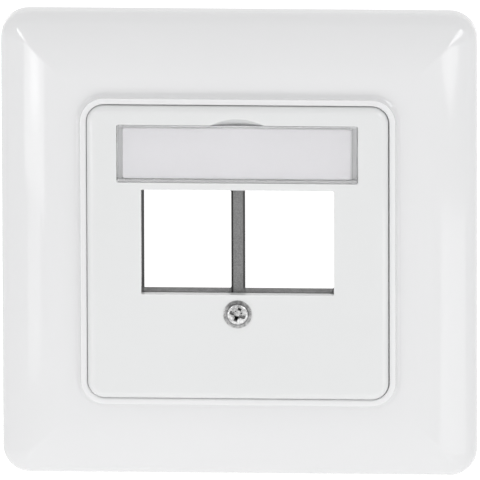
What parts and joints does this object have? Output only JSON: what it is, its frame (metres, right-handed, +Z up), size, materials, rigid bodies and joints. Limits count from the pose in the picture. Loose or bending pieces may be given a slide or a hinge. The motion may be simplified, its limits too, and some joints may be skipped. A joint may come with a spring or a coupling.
{
  "type": "twin keystone faceplate",
  "caption": "Square flush wall faceplate with a cover frame, a centre plate with a clear label field, and a metal carrier with side-by-side keystone bays.",
  "frame": {"origin": "middle of the faceplate on the wall plane, midway between the wall box's screws", "axes": "+Z up, +X to the right seen from the room, -Y out of the wall towards the room"},
  "size_m": [0.08, 0.0108, 0.08],
  "materials": {
    "frame_plastic": "pure white glossy moulded ABS",
    "plate_plastic": "pure white glossy moulded ABS",
    "clear_plastic": "clear polished polycarbonate",
    "label_paper": "smooth blank card",
    "cast_metal": "raw zinc die casting, slightly rough",
    "screw_metal": "nickel-plated steel"
  },
  "bodies": {
    "faceplate": {"cover_frame": "frame_plastic", "centre_plate": "plate_plastic", "label_insert": "label_paper", "module_carrier": "cast_metal", "cover_screw": "screw_metal"},
    "label_cover": {"label_window": "clear_plastic"}
  },
  "joints": [
    {"name": "label_cover_lift", "type": "slide", "parent": "faceplate", "child": "label_cover", "axis": [0, -1, 0], "range_m": [0, 0.004]}
  ]
}
